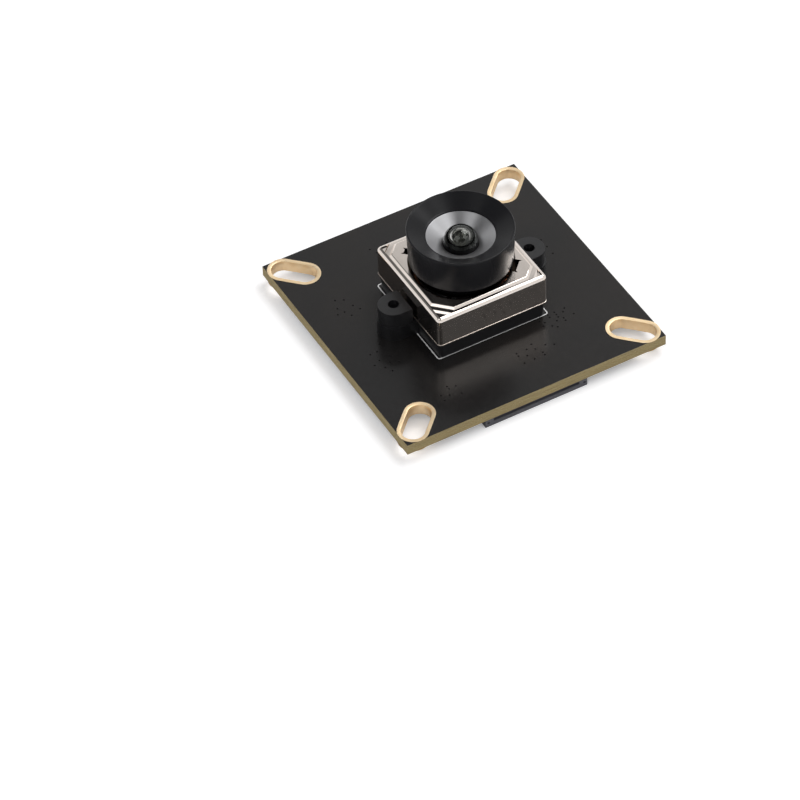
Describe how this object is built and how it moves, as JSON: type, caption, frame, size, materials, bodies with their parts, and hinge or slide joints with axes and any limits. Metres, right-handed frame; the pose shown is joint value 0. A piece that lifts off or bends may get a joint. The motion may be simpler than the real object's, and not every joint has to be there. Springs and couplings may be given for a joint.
{
  "type": "autofocus camera module",
  "caption": "Autofocus camera module: square black board with slotted corners, eared lens mount, metal actuator can, wide black lens and ribbon connector.",
  "frame": {"origin": "middle of the footprint, on the plane that the ribbon connector and the inductors rest on", "axes": "+Z along the optical axis, out of the lens; -Y out of the ribbon connector's mouth; the two mounting ears lie along X"},
  "size_m": [0.038, 0.038, 0.0157],
  "materials": {
    "board": "semi-gloss black solder mask",
    "gold": "thin gold plating",
    "mount_black": "fine matt, moulded",
    "can_metal": "drawn nickel silver, satin",
    "lens_black": "satin",
    "ring_grey": "satin, fine turned rings",
    "glass": "clear, coated",
    "stop_black": "matt",
    "screw_steel": "plain",
    "connector_black": "matt",
    "contact_gold": "plated",
    "latch_brown": "matt",
    "tin": "tinned",
    "leaf_copper": "bright leaf",
    "magnet": "nickel plated",
    "coil_copper": "enamelled wire",
    "filter_glass": "clear, blue-green",
    "ceramic": "ceramic",
    "die": "polished",
    "chip_black": "matt",
    "crystal_metal": "satin lid",
    "chip_dark": "polished",
    "ferrite": "matt",
    "cap_ceramic": "ceramic"
  },
  "bodies": {
    "board": {"pcb": "board", "slot_plating": "gold", "lens_mount": "mount_black", "can": "can_metal", "mount_screws": "screw_steel", "fpc_housing": "connector_black", "fpc_contacts": "contact_gold", "fpc_tabs": "tin", "actuator_base": "mount_black", "spring_lower": "leaf_copper", "spring_upper": "leaf_copper", "magnets": "magnet", "top_frame": "mount_black", "ir_filter": "filter_glass", "sensor_body": "ceramic", "sensor_die": "die", "sensor_cover": "glass", "regulators": "chip_black", "oscillator": "crystal_metal", "memory_chip": "chip_black", "focus_driver": "chip_dark", "inductors": "ferrite", "capacitors": "cap_ceramic", "resistors": "chip_black"},
    "lens": {"lens_carrier": "mount_black", "coil": "coil_copper", "lens_barrel": "lens_black", "front_ring": "ring_grey", "lens_1": "glass", "spacer_1": "stop_black", "aperture_stop": "stop_black", "lens_2": "glass", "spacer_2": "stop_black", "lens_3": "glass", "spacer_3": "stop_black", "lens_4": "glass", "rear_ring": "lens_black"},
    "latch": {"fpc_latch": "latch_brown"}
  },
  "joints": [
    {"name": "focus", "type": "slide", "parent": "board", "child": "lens", "axis": [0, 0, 1], "range_m": [0, 0.00035], "stiffness_N_per_m": 60, "springref_m": -0.0005, "deforming": ["spring_lower", "spring_upper"]},
    {"name": "latch_turn", "type": "hinge", "parent": "board", "child": "latch", "pos_m": [-0.0002, -0.0159, 0.00042], "axis": [1, 0, 0], "range_deg": [-90, 0]}
  ]
}
